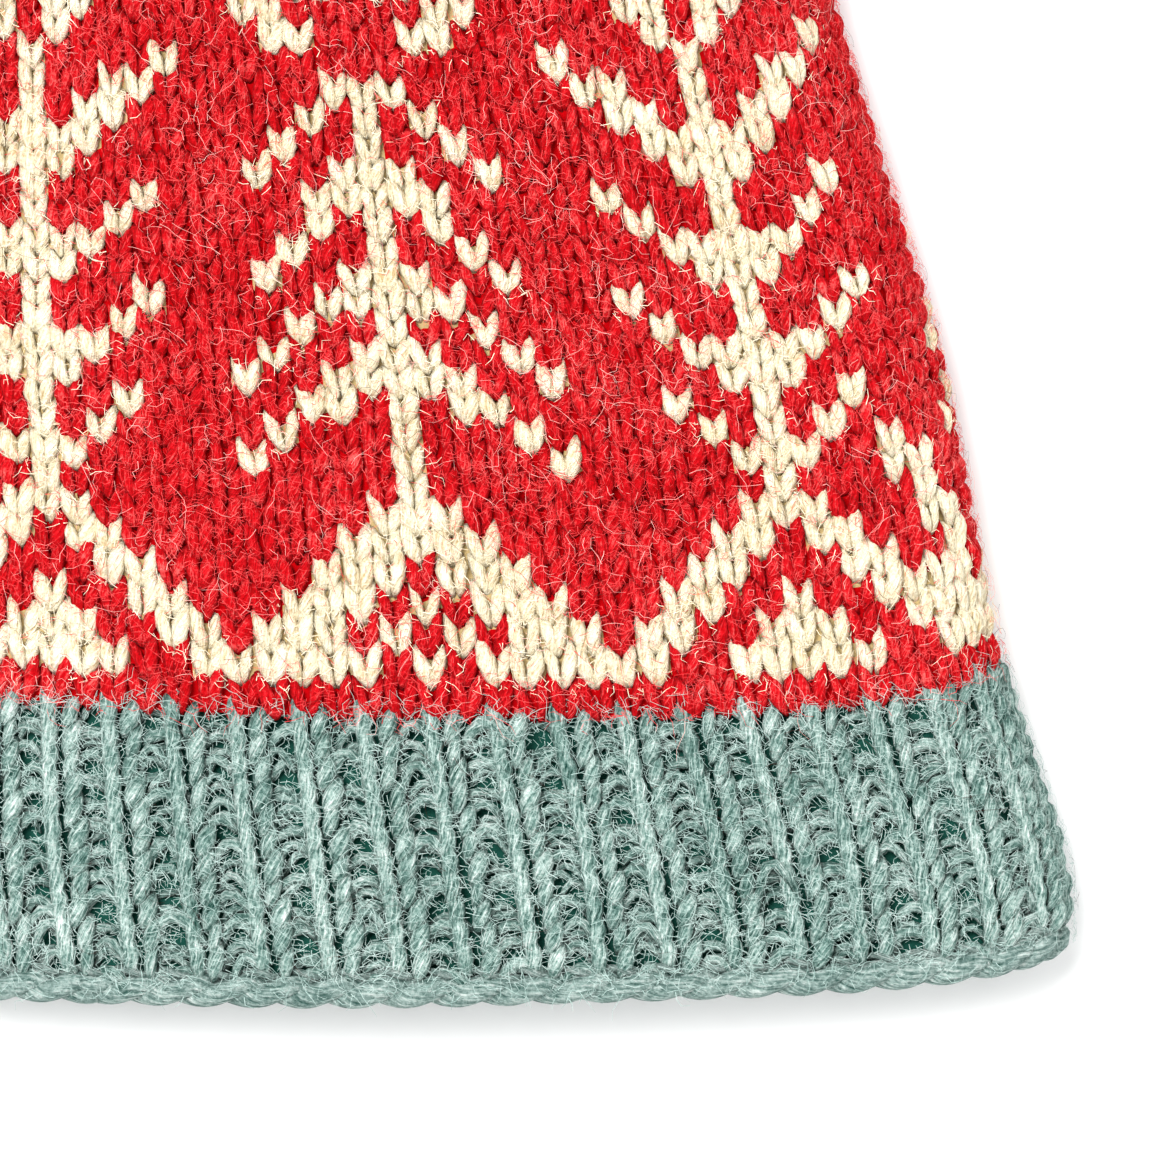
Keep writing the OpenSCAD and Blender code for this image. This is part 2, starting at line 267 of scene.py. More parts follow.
def yarn_mesh(bundles, lumps):
    """Arrays for closed tubes. Each bundle is (path, outward, wide, deep, sides, tone): many paths of equal
    length. A ring of the tube is path + wide * cos(a) * across + deep * sin(a) * outward, and lumps is how
    far each point strays from that ring, as a share of the radius."""
    rng = np.random.default_rng(5)
    parts = {"points": [], "loops": [], "starts": [], "uv": [], "tone": []}
    first, corner = 0, 0
    for path, outward, wide, deep, sides, tone in bundles:
        n, k = path.shape[:2]
        along = unit(np.gradient(path, axis=1))
        across = unit(np.cross(along, outward))
        up = np.cross(across, along)
        a = (np.arange(sides) + (0.25 if sides == 3 else 0)) * TAU / sides
        stray = (1 + rng.normal(0, lumps, (n, k, sides)))[..., None] if lumps else 1
        rings = (path[:, :, None] + stray * (wide[..., None, None] * np.cos(a)[:, None] * across[:, :, None]
                                             + deep[..., None, None] * np.sin(a)[:, None] * up[:, :, None]))
        step = np.linalg.norm(np.diff(path, axis=1), axis=2) / MM
        v = np.concatenate([np.zeros((n, 1)), np.cumsum(step, axis=1)], axis=1)
        v = v + np.arange(n)[:, None] * 7.31 % 50
        ring_index = (np.arange(n)[:, None, None] * k + np.arange(k)[None, :, None]) * sides
        index = first + ring_index + np.arange(sides)
        after = np.roll(index, -1, axis=2)
        quads = np.stack([index[:, :-1], index[:, 1:], after[:, 1:], after[:, :-1]], -1).reshape(-1, 4)
        u0 = np.broadcast_to(np.arange(sides) / sides, (n, k - 1, sides))
        v0 = np.broadcast_to(v[:, :-1, None], u0.shape)
        v1 = np.broadcast_to(v[:, 1:, None], u0.shape)
        u1 = u0 + 1 / sides
        quad_uv = np.stack([np.stack([u0, v0], -1), np.stack([u0, v1], -1),
                            np.stack([u1, v1], -1), np.stack([u1, v0], -1)], 3).reshape(-1, 2)
        caps = np.concatenate([index[:, 0], index[:, -1, ::-1]], 0)
        cap_uv = np.zeros((caps.size, 2))
        parts["points"].append(rings.reshape(-1, 3))
        parts["loops"] += [quads.ravel(), caps.ravel()]
        parts["starts"] += [corner + np.arange(len(quads)) * 4,
                            corner + quads.size + np.arange(len(caps)) * sides]
        parts["uv"] += [quad_uv, cap_uv]
        parts["tone"].append(np.repeat(tone, k * sides))
        first += n * k * sides
        corner += quads.size + caps.size
    return {key: np.concatenate(value) for key, value in parts.items()}


def yarn_piece(name, bundles, material, lumps=0.0, smooth=True):
    """Piece made of closed tubes of yarn."""
    data = yarn_mesh([b for b in bundles if len(b[0])], lumps)
    return new_piece(name, data["points"], data["loops"], data["starts"], material, data["uv"], data["tone"],
                     smooth)


def outward_at(surface, c, s):
    """Direction away from the cloth: from a point just below the surface to one just above."""
    return unit(surface(c, s, 0.4) - surface(c, s, -0.4))


def wall_piece(name, surface, columns, distances, heights, hand, material, closed=False, tone=None):
    """Closed wall between two heights of a surface: rings of columns at the distances, ends joined, or
    closed by a cap at the far end. tone(column, distance) marks where the cloth in front is cream."""
    outside, inside = heights
    c, s = np.meshgrid(columns, distances)
    n, k = len(columns), len(distances)
    points = np.concatenate([surface(c, s, outside).reshape(-1, 3), surface(c, s, inside).reshape(-1, 3)])
    ring = np.arange(k)[:, None] * n + np.arange(n)
    after = np.roll(ring, -1, axis=1)
    outer = np.stack([ring[:-1], after[:-1], after[1:], ring[1:]], -1).reshape(-1, 4)
    inner = outer[:, ::-1] + n * k
    mouth = np.stack([ring[0], ring[0] + n * k, after[0] + n * k, after[0]], -1)
    faces = [outer, inner, mouth]
    if not closed:
        faces.append(np.stack([ring[-1], after[-1], after[-1] + n * k, ring[-1] + n * k], -1))
    faces = np.concatenate(faces)
    ends = np.stack([ring[-1], ring[-1][::-1] + n * k]) if closed else np.zeros((0, n), int)
    if hand < 0:
        faces, ends = faces[:, ::-1], ends[:, ::-1]
    loops = np.concatenate([faces.ravel(), ends.ravel()])
    starts = np.concatenate([np.arange(len(faces)) * 4, faces.size + np.arange(len(ends)) * n])
    marks = np.tile(tone(c, s).ravel(), 2) if tone else np.zeros(len(points))
    return new_piece(name, points, loops, starts, material, tone=marks)


# ---------------------------------------------------------------- the knitting chart
# Cream stitches counted outward from the trunk, row by row above the ribbing. Both trees are the same on
# their two sides.
TALL_TREE = {1: (0, 1, 2), 2: (0, 1, 4, 5), 3: (0, 3, 4), 4: (2, 3), 5: (1, 2), 6: (0, 1), 7: (0,),
             8: (0, 1), 9: (0, 2), 10: (0, 3), 11: (0, 1), 12: (0, 1, 2), 13: (0, 3), 14: (0, 4),
             15: (0, 1), 16: (0, 1, 2), 17: (0, 3), 18: (0, 4), 19: (0, 1), 20: (0, 1, 2),
             21: (0, 2, 3), 22: (0, 3, 4), 23: (0, 5), 24: (1,), 25: (1, 2)}
FIR_TREE = {1: (0, 2, 3, 4, 5, 6, 7), 2: (1, 3, 4, 5), 3: (0, 2, 3, 4), 4: (1, 2, 3), 5: (0, 1, 2),
            6: (0, 1), 7: (0,), 8: (0, 5), 9: (0, 4), 10: (0, 2, 3), 11: (0, 1, 2, 5), 12: (0, 1, 4),
            13: (0, 3), 14: (0, 1, 2), 15: (0, 1, 4), 16: (0, 3), 17: (0, 2), 18: (0, 1, 2),
            19: (0, 1, 4), 20: (0, 3), 21: (0, 2), 22: (0, 1), 24: (2, 3), 25: (3, 4)}
# The hook beside the side edge, counted from the middle of the back.
SIDE_HOOK = {2: (16, 17, 18), 3: (15, 16, 17, 18), 4: (18,), 5: (17, 18), 6: (17,), 7: (16, 17), 8: (16,)}
CHART_TOP = 25
LATTICE = 22


def chart(j, row, palm):
    """True where the stitch j columns from the middle is cream. The gauntlet has the trees, the back of
    the hand a diamond lattice with a small tree in each diamond, and the palm scattered stitches."""
    e = abs((j + 12) % 24 - 12)
    d = 12 - e
    if row <= CHART_TOP:
        hook = abs(j) in SIDE_HOOK.get(row, ())
        return d in TALL_TREE.get(row, ()) or e in FIR_TREE.get(row, ()) or hook
    if palm:
        return (j % 4 == 0 and row % 4 == 0) or (j % 4 == 2 and row % 4 == 2)
    q = (row - CHART_TOP - 1) % LATTICE
    line = q if q < LATTICE // 2 else LATTICE - 1 - q
    tree = 6 <= q <= 17 and (e == 0 or (e == q % 3 and e < 3))
    seed = (q >= LATTICE - 3 or q <= 2) and d == 0
    return e in (line + 1, line + 2) or tree or seed


def stitch_grid(first_row, last_row):
    """Column, row and colour of every stitch of the body between two rows."""
    cells = []
    for row in range(first_row, last_row + 1):
        for j in range(-COLUMNS // 2, COLUMNS // 2):
            palm = abs(j) > COLUMNS // 4
            across = j if not palm else COLUMNS // 2 - abs(j)
            if inside_decrease(np.array(j + MIDDLE), row_at(row)):
                cells.append((j + MIDDLE, row, chart(across, row, palm), palm))
    return np.array(cells, float)


def stitch_legs(surface, c, s, pitch_c, pitch_s, detail, plump, rng, to_s=lambda s: s):
    """The two legs of each stitch: from a point low between the legs of the stitch below, out and up
    over about one and a half rows, and down behind the stitch above. Thickness is a bell along the leg."""
    sides, rings = detail
    n = len(c)
    bundles = []
    t = np.linspace(0, 1, rings)
    for side in (-1, 1):
        lean = rng.normal(0, 0.09, (n, 1))
        reach = 1.50 + rng.normal(0, 0.11, (n, 1))
        width = plump * pitch_c * (1 + rng.normal(0, 0.11, (n, 1)))
        height = rng.normal(0, 0.16, (n, 1))
        bow = rng.normal(0, 0.05, (n, 1))
        cc = (c[:, None] + side * (0.04 + 0.37 * t ** 0.85) + lean * (0.5 - t)
              + bow * np.sin(math.pi * t))
        ss = s[:, None] + pitch_s[:, None] * (-0.08 + reach * t)
        h = -1.9 + 1.4 * arch(t, 0.11, 0.80, 0.7) + height
        wide = width * arch(t, 0.06, 0.86, 0.7) * MM
        path = surface(cc, to_s(ss), h)
        outward = outward_at(surface, cc, to_s(ss))
        bundles.append((path, outward, wide, wide * 0.82, sides, rng.random(n)))
    return bundles


# ---------------------------------------------------------------- wool
def srgb(r, g, b):
    """Display colour of 0 to 255 to the linear colour a shader takes."""
    c = np.array([r, g, b]) / 255
    return (*np.where(c <= 0.04045, c / 12.92, ((c + 0.055) / 1.055) ** 2.4), 1.0)


def link(tree, a, b):
    """Join an output socket to an input socket."""
    tree.links.new(a, b)


def maths(tree, operation, a, b):
    """Math node on two sockets or numbers."""
    node = tree.nodes.new("ShaderNodeMath")
    node.operation = operation
    for socket, value in zip(node.inputs, (a, b)):
        if isinstance(value, bpy.types.NodeSocket):
            link(tree, value, socket)
        else:
            socket.default_value = value
    return node.outputs[0]


def noise(tree, vector, scale, detail, roughness=0.6):
    """Noise over a vector, from 0 to 1 with its middle at a half."""
    node = tree.nodes.new("ShaderNodeTexNoise")
    node.inputs["Scale"].default_value = scale
    node.inputs["Detail"].default_value = detail
    node.inputs["Roughness"].default_value = roughness
    link(tree, vector, node.inputs["Vector"])
    return node.outputs["Fac"]


def wool_group():
    """Fibres wound round a strand (noise stretched along it), matted fluff, and slow drift over the
    cloth."""
    group = bpy.data.node_groups.new("wool_fibres", "ShaderNodeTree")
    for name, value in (("Fibres round", 15.0), ("Twist", 1.8)):
        group.interface.new_socket(name, in_out="INPUT", socket_type="NodeSocketFloat").default_value = value
    for name in ("Fibre", "Fluff", "Drift"):
        group.interface.new_socket(name, in_out="OUTPUT", socket_type="NodeSocketFloat")
    given = group.nodes.new("NodeGroupInput")
    result = group.nodes.new("NodeGroupOutput")
    strand = group.nodes.new("ShaderNodeUVMap")
    strand.uv_map = "strand"
    split = group.nodes.new("ShaderNodeSeparateXYZ")
    link(group, strand.outputs[0], split.inputs[0])
    wound = maths(group, "MULTIPLY", split.outputs[0], given.outputs["Fibres round"])
    wound = maths(group, "ADD", wound, maths(group, "MULTIPLY", split.outputs[1], given.outputs["Twist"]))
    laid = group.nodes.new("ShaderNodeCombineXYZ")
    link(group, wound, laid.inputs[0])
    link(group, maths(group, "MULTIPLY", split.outputs[1], 0.55), laid.inputs[1])
    place_in = group.nodes.new("ShaderNodeTexCoord").outputs["Object"]
    for name, source in (("Fibre", noise(group, laid.outputs[0], 1.0, 3.0)),
                         ("Fluff", noise(group, place_in, 2600.0, 4.0, 0.65)),
                         ("Drift", noise(group, place_in, 130.0, 3.0))):
        spread = maths(group, "MULTIPLY", maths(group, "SUBTRACT", source, 0.5), 2.6)
        link(group, maths(group, "ADD", spread, 0.5), result.inputs[name])
    return group


WOOL = wool_group()


def wool(name, shades, stops, fibres=15.0, twist=1.8, weights=(0.50, 0.28, 0.10, 0.12),
         sheen=0.05, sheen_tint=(1, 1, 1, 1), bump=1.0):
    """Yarn: colour runs through the shades by fibre, fluff, stitch and drift, and fibre and fluff also
    make the relief. The darkest and palest shades are partly painted light: shade between fibres and
    highlights on them, scattered by the noise."""
    material = bpy.data.materials.new(name)
    material.use_nodes = True
    tree = material.node_tree
    shader = tree.nodes["Principled BSDF"]
    fibre = tree.nodes.new("ShaderNodeGroup")
    fibre.node_tree = WOOL
    fibre.inputs["Fibres round"].default_value = fibres
    fibre.inputs["Twist"].default_value = twist
    stitch = tree.nodes.new("ShaderNodeAttribute")
    stitch.attribute_name = "tone"
    total = maths(tree, "MULTIPLY", fibre.outputs["Fibre"], weights[0])
    for socket, weight in ((fibre.outputs["Fluff"], weights[1]), (stitch.outputs["Fac"], weights[2]),
                           (fibre.outputs["Drift"], weights[3])):
        total = maths(tree, "ADD", total, maths(tree, "MULTIPLY", socket, weight))
    ramp = tree.nodes.new("ShaderNodeValToRGB")
    elements = ramp.color_ramp.elements
    while len(elements) < len(shades):
        elements.new(0.5)
    for element, stop, shade in zip(elements, stops, shades):
        element.position = stop
        element.color = srgb(*shade)
    link(tree, total, ramp.inputs[0])
    link(tree, ramp.outputs[0], shader.inputs["Base Color"])
    if bump:
        relief = tree.nodes.new("ShaderNodeBump")
        relief.inputs["Strength"].default_value = bump
        relief.inputs["Distance"].default_value = 0.20 * MM
        matted = maths(tree, "MULTIPLY", fibre.outputs["Fluff"], 0.8)
        height = maths(tree, "ADD", fibre.outputs["Fibre"], matted)
        link(tree, height, relief.inputs["Height"])
        link(tree, relief.outputs[0], shader.inputs["Normal"])
    rough = maths(tree, "ADD", maths(tree, "MULTIPLY", fibre.outputs["Fluff"], 0.25), 0.72)
    link(tree, rough, shader.inputs["Roughness"])
    shader.inputs["Specular IOR Level"].default_value = 0.06
    shader.inputs["Sheen Weight"].default_value = sheen
    shader.inputs["Sheen Roughness"].default_value = 0.55
    shader.inputs["Sheen Tint"].default_value = sheen_tint
    return material


def backing_wool(name, dark, shade_behind_cream):
    """The inside of the cloth seen through the gaps: one colour behind each colour of yarn, mottled. Where a
    colour given is darker than the yarn in front, as behind cream and behind the ribbing, it is painted
    shade.
    """
    material = bpy.data.materials.new(name)
    material.use_nodes = True
    tree = material.node_tree
    shader = tree.nodes["Principled BSDF"]
    where = tree.nodes.new("ShaderNodeAttribute")
    where.attribute_name = "tone"
    spot = noise(tree, tree.nodes.new("ShaderNodeTexCoord").outputs["Object"], 1500.0, 3.0)
    mix = tree.nodes.new("ShaderNodeMix")
    mix.data_type = "RGBA"
    mix.inputs["A"].default_value = srgb(*dark)
    mix.inputs["B"].default_value = srgb(*shade_behind_cream)
    link(tree, maths(tree, "GREATER_THAN", where.outputs["Fac"], 0.5), mix.inputs["Factor"])
    shade = tree.nodes.new("ShaderNodeMix")
    shade.data_type = "RGBA"
    shade.blend_type = "MULTIPLY"
    shade.inputs["Factor"].default_value = 0.4
    link(tree, mix.outputs["Result"], shade.inputs["A"])
    link(tree, spot, shade.inputs["B"])
    link(tree, shade.outputs["Result"], shader.inputs["Base Color"])
    relief = tree.nodes.new("ShaderNodeBump")
    relief.inputs["Distance"].default_value = 0.3 * MM
    link(tree, spot, relief.inputs["Height"])
    link(tree, relief.outputs[0], shader.inputs["Normal"])
    shader.inputs["Roughness"].default_value = 0.95
    shader.inputs["Specular IOR Level"].default_value = 0.05
    return material


# Each wool's first and last shades hold painted shade and painted highlight as well as the yarn's own range
# of colour.
STOPS = (0.20, 0.42, 0.60, 0.86)
RED = wool("red_wool", ((140, 0, 2), (188, 2, 12), (214, 24, 34), (248, 116, 110)), STOPS,
           sheen_tint=srgb(255, 120, 120))
CREAM = wool("cream_wool", ((200, 172, 122), (234, 219, 184), (248, 239, 210), (254, 251, 236)), STOPS,
             sheen_tint=srgb(255, 240, 225))
GREY = wool("grey_wool", ((18, 62, 53), (102, 134, 126), (166, 190, 182), (242, 250, 246)), STOPS,
            fibres=18.0, twist=1.2, sheen_tint=srgb(225, 240, 240))
# A darker copy of the grey wool: painted shade on the cast-on rope.
ROPE_GREY_SHADED = wool("rope_wool_shaded", ((40, 76, 68), (106, 130, 124), (150, 170, 164), (206, 217, 212)), STOPS,
                 fibres=18.0, twist=1.2, sheen_tint=srgb(225, 240, 240))
FLOATS = wool("float_wool", ((200, 176, 140), (232, 216, 186), (244, 234, 208), (252, 246, 232)), STOPS)
# Behind red stitches the wall has the red of the yarn; behind cream it is a darker tan, painted shade in the
# gaps.
BACKING = backing_wool("knit_backing", (196, 2, 10), (208, 182, 128))
# Behind the ribbing: dark teal, much darker than the grey yarn, as painted shade in the furrows between the
# ribs.
CUFF_SHADE_BACKING = backing_wool("cuff_shade_backing", (32, 86, 74), (32, 86, 74))
# The red, pale and grey fluff are paler than their yarns: partly painted highlight on the fine fibres.
RED_FLUFF = wool("red_fluff", ((186, 14, 24), (212, 40, 46), (230, 80, 80), (250, 160, 154)), STOPS, bump=0)
PALE_FLUFF = wool("pale_fluff", ((232, 116, 112), (241, 156, 149), (250, 194, 184), (255, 232, 224)), STOPS,
                  bump=0)
CREAM_FLUFF = wool("cream_fluff", ((226, 200, 160), (240, 224, 192), (249, 239, 214), (254, 250, 236)),
                   STOPS, bump=0)
GREY_FLUFF = wool("grey_fluff", ((104, 138, 130), (150, 176, 169), (184, 205, 199), (232, 243, 238)), STOPS,
                  bump=0)
DARK_FLUFF = wool("dark_fluff", ((26, 14, 12), (44, 26, 22), (66, 40, 34), (96, 62, 52)), STOPS, bump=0)


# ---------------------------------------------------------------- pieces of one mitten
def rib_cords(surface, knit, rng):
    """The left legs of each knit column run together: a smooth cord that sways a little and dives under
    the cloth at both ends."""
    t = np.linspace(0, 1, 44)
    line = RIB_START + t * (RIB_LEN - 2.2)
    beat = TAU * (line / RIB_ROW)
    wobble = rng.normal(0, 0.035, (len(knit), 4))
    sway = sum(wobble[:, k:k + 1] * np.sin((k + 1) * 2.1 * t + k) for k in range(4))
    c = knit[:, None] - 0.28 + sway + 0.035 * np.sin(beat)
    s = np.broadcast_to(line, c.shape)
    dive = np.clip(np.abs(2 * t - 1) * 12 - 11, 0, 1) ** 2
    h = -0.98 + 0.08 * np.sin(beat + 1) - 1.3 * dive + rng.normal(0, 0.10, (len(knit), 1))
    wide = np.broadcast_to((0.79 + 0.05 * np.sin(beat)) * (1 - 0.6 * dive) * MM, c.shape)
    return surface(c, s, h), outward_at(surface, c, s), wide, wide, 8, rng.random(len(knit))


def rib_legs(surface, c0, s0, detail, rng):
    """The right legs of the knit columns: one short fat leg a row, that slants up beside the cord."""
    sides, rings = detail
    n = len(c0)
    t = np.linspace(0, 1, min(rings, 6))
    jitter = rng.normal(0, 0.05, (n, 3))
    c = c0[:, None] + 0.18 + (0.44 + jitter[:, :1]) * t + jitter[:, 1:2]
    s = s0[:, None] + RIB_ROW * (-0.15 + 1.6 * t)
    h = -2.1 + 1.6 * arch(t, 0.12, 0.78, 0.8) + jitter[:, 2:3] * 3
    wide = 0.80 * arch(t, 0.07, 0.85, 0.7) * MM * (1 + jitter[:, :1] * 2)
    return surface(c, s, h), outward_at(surface, c, s), wide, wide * 0.85, sides, rng.random(n)


def inner_ribs(surface, knit, rng):
    """The back of the purl columns, which stands out on the inside of the cuff: two plain cords each."""
    t = np.linspace(0, 1, 9)
    line = 2.4 + t * (RIB_LEN - 1.5)
    bundles = []
    for side in (-0.27, 0.27):
        c = knit[:, None] + 1 + side + 0.05 * np.sin(TAU * line / RIB_ROW / 2 + side)
        s = np.broadcast_to(line, c.shape)
        wide = np.full(c.shape, 0.60 * MM)
        bundles.append((surface(c, s, -3.15), outward_at(surface, c, s), wide, wide, 5,
                        rng.random(len(knit))))
    return bundles


def purl_arches(surface, c0, s0, rng):
    """The purl columns: an arch of yarn every half row, set back in the furrow and each a little askew."""
    n = len(c0)
    t = np.linspace(0, 1, 6)
    rise = arch(t, 0.04, 0.92, 0.9)
    bundles = []
    for step, deep, thick in ((0.0, -2.05, 0.56), (0.5, -2.6, 0.44)):
        jitter = rng.normal(0, 0.15, (n, 5))
        c = c0[:, None] + 0.54 + (1.20 + jitter[:, :1]) * t + jitter[:, 1:2] * 0.7
        s = (s0[:, None] + RIB_ROW * (step - 0.45 + (0.80 + 2 * jitter[:, 2:3]) * rise)
             + 4.0 * jitter[:, 3:4] * t)
        h = deep + 0.85 * arch(t, 0.1, 0.8) + jitter[:, 2:3] * 2.0 + jitter[:, 4:] * (t - 0.5) * 3
        wide = (thick + jitter[:, :1] * 0.5) * (0.6 + 0.4 * rise) * MM
        bundles.append((surface(c, s, h), outward_at(surface, c, s), wide, wide, 5, rng.random(n)))
    return bundles


def rib_pieces(name, surface, detail, rng):
    """Single rib as two pieces: the knit columns with the inside of the cuff, and the purl columns."""
    knit = MIDDLE - COLUMNS / 2 + 2 * np.arange(COLUMNS // 2)
    c0, s0 = (a.ravel() for a in np.meshgrid(knit, RIB_START + np.arange(RIB_ROWS) * RIB_ROW))
    cords = rib_cords(surface, knit, rng)
    legs = rib_legs(surface, c0, s0, detail, rng)
    inside = inner_ribs(surface, knit, rng)
    arches = purl_arches(surface, c0, s0, rng)
    ribs = yarn_piece(name + "_rib_cords", [cords, legs, *inside], GREY)
    bumps = yarn_piece(name + "_rib_purls", arches, GREY)
    return ribs, bumps


def cast_on_rope(name, surface):
    """Two strands laid round each other along the mouth of the cuff, and above them a thin third strand
    that goes in and out like a wave."""
    c = np.linspace(0, COLUMNS + 0.4, 480)
    length = c / COLUMNS * float(girth(2.0))
    strands = []
    for start in (0, math.pi):
        a = TAU * length / ROPE_TURN + start
        swell = 1.0 + 0.07 * np.sin(c * 1.7 + start)
        path = surface(c, 1.8 + 0.55 * np.sin(a), -1.9 + 0.55 * np.cos(a))[None]
        outward = outward_at(surface, c, np.full_like(c, 1.8))[None]
        wide = (1.14 * swell * MM)[None]
        strands.append((path, outward, wide, wide, 8, np.array([0.5])))
    c = np.linspace(0, COLUMNS + 0.4, 960)
    turn = TAU * c * 0.75
    path = surface(c, 3.3 + 0.25 * np.cos(turn), -1.25 + 0.75 * np.sin(turn))[None]
    outward = outward_at(surface, c, np.full_like(c, 3.3))[None]
    wide = np.full((1, len(c)), 0.34 * MM)
    strands.append((path, outward, wide, wide, 5, np.array([1.0])))
    # The rope takes the darker copy of the grey wool, which is painted shade.
    return yarn_piece(name + "_cast_on_rope", strands, ROPE_GREY_SHADED)


def float_strands(name, surface):
    """The yarn that is carried loose behind each row of the pattern, one wavy ring a row."""
    rows = np.arange(1, CHART_TOP)
    c = np.broadcast_to(np.linspace(0, COLUMNS + 0.5, 90), (len(rows), 90))
    s = row_at(rows)[:, None] + 0.5 * np.sin(c * 0.9 + rows[:, None])
    h = FLOAT_HEIGHT + 0.3 * np.sin(c * 1.7 + rows[:, None] * 2.3)
    wide = np.full(c.shape, 0.42 * MM)
    bundle = (surface(c, s, h), outward_at(surface, c, s), wide, wide, 4, np.linspace(0, 1, len(rows)))
    return yarn_piece(name + "_float_strands", [bundle], FLOATS)


def knit_bundles(surface, cells, detail, plump, rng, cream):
    """Legs for the stitches of one colour; palm stitches are made with fewer faces."""
    bundles = []
    for palm in (False, True):
        part = cells[(cells[:, 3] == palm) & (cells[:, 2] == cream)]
        c, row = part[:, 0], part[:, 1]
        s = row_at(row)
        pitch_c = (girth(np.minimum(s, DECREASE_AT)) / COLUMNS)[:, None]
        pitch_s = row_at(row + 1) - s
        if len(part):
            bundles += stitch_legs(surface, c, s, pitch_c, pitch_s, (4, 3) if palm else detail, plump, rng)
    return bundles


def thumb_distance(q):
    """Millimetres from the curved seam, less than 0 in the gore, to the v of the thumb surface."""
    return np.where(q < 0, q / GORE_PATH, q / THUMB_PATH)


def thumb_cells():
    """Column, distance, colour and columns skipped for each stitch of the gore and thumb: red with
    scattered cream ones, and fewer columns where the tip closes."""
    cells = []
    for row in range(-14, 27):
        q = row * THUMB_ROW
        tip = thumb_tip(q / THUMB_PATH)
        skip = 1 if tip > 0.72 else 2 if tip > 0.42 else 4
        cells += [(c, q, c % 4 == row % 8 / 4 * 2 and row % 4 == 0, skip)
                  for c in range(0, THUMB_COLUMNS, skip)]
    return np.array(cells, float)


def thumb_stitches(name, surface, hand, rng):
    """Thumb and gore knitted in one, as a red and a cream piece. In the gore only the stitches that come
    out past the side of the hand are made."""
    cells = thumb_cells()
    middle = surface(cells[:, 0], thumb_distance(cells[:, 1] + ROW_MIDDLE), 0)
    s = middle[:, 1] / MM + MID_Y
    x = hand * middle[:, 0] / MM - SPREAD - centre_x(s)
    cells = cells[(cells[:, 1] >= 0) | (np.abs(x) > half_w(s) - 3)]
    pieces = []
    for cream, label, material, plump in ((0, "_thumb_red", RED, 0.215), (1, "_thumb_cream", CREAM, 0.235)):
        part = cells[cells[:, 2] == cream]
        legs = stitch_legs(surface, part[:, 0], part[:, 1], np.full((len(part), 1), THUMB_STITCH),
                           np.full(len(part), THUMB_ROW), (4, 4), plump, rng, thumb_distance)
        pieces.append(yarn_piece(name + label, legs, material))
    return pieces


def gathered_tip(name, hand):
    """Short strands side by side that draw the finger tip shut: each is half an ellipse from the back of
    the hand, round the end, to the palm."""
    end = TOTAL_LEN - 2.0
    w, r = float(half_w(end)), float(edge_r(end))
    x = np.arange(-3, 4)[:, None] * w / 3.4
    a = np.linspace(1.25, -1.25, 9) * math.pi / 2
    side = 1 - 0.25 * (x / w) ** 2
    y = end - 1.8 + (2.6 * side) * np.cos(a)
    z = r + (r - 0.35) * side * np.sin(a)
    path = place(centre_x(end) + x + 0 * a, y, z, hand)
    middle = place(centre_x(end) + x + 0 * a, end - 3.5 + 0 * y, r + 0 * z, hand)
    wide = np.full(path.shape[:2], 0.95 * MM)
    bundle = (path, unit(path - middle), wide, wide, 6, np.linspace(0, 1, len(x)))
    return yarn_piece(name + "_tip_gather", [bundle], RED)


def as_point(p):
    """Three plain numbers from an array."""
    return tuple(float(a) for a in p)


def make_cuff(name, hand, body, surface, even, detail, rng):
    """Cast-on edge, ribbing and the wall behind the ribbing, which is dark teal as painted shade in the
    furrows.
    """
    rope = cast_on_rope(name, surface)
    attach(rope, body)
    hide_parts(name + "_cast_on_edge")
    ribs, purls = rib_pieces(name, surface, detail, rng)
    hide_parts(name + "_ribbed_cuff")
    ring = MIDDLE + np.arange(COLUMNS * 2) / 2
    # The wall's dark teal is painted shade seen through the furrows of the ribbing.
    cuff = wall_piece(name + "_cuff_shade_backing", even, ring, np.linspace(1.5, RIB_LEN + 1, 10), CUFF_WALL,
                      hand, CUFF_SHADE_BACKING)
    for piece in (ribs, purls, cuff):
        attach(piece, body)


def make_gauntlet_inside(name, hand, body, even):
    """The wall behind the stitches of the gauntlet and the loose yarn behind that."""
    # Behind cream stitches this wall is a darker tan, painted shade in the gaps.
    gauntlet = wall_piece(name + "_gauntlet_backing", even, MIDDLE + np.arange(COLUMNS),
                          np.linspace(RIB_LEN - 1, WRIST_AT, 57), CLOTH_WALL, hand, BACKING, tone=is_cream)
    strands = float_strands(name, even)
    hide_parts(name + "_gauntlet_floats")
    for piece in (gauntlet, strands):
        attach(piece, body)


def make_cloth(name, body, surface, fold, sections, rng):
    """Every stitch from the ribbing to the finger tip, as a red and a cream piece for each section. A
    section is its name, first and last row, detail, lumps and the nodes that it stands for."""
    for section, first, last, faces, lumps, nodes in sections:
        cells = stitch_grid(first, last)
        red = yarn_piece(f"{name}_{section}_red", knit_bundles(surface, cells, faces, RED_PLUMP, rng, 0),
                         RED, lumps)
        cream = yarn_piece(f"{name}_{section}_cream",
                           knit_bundles(surface, cells, faces, CREAM_PLUMP, rng, 1), CREAM, lumps)
        for piece in (red, cream):
            if section == "gauntlet":
                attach(piece, body)
            else:
                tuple(fold[0])
                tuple(fold[1])
                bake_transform(piece)
        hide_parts(*(name + node for node in nodes))


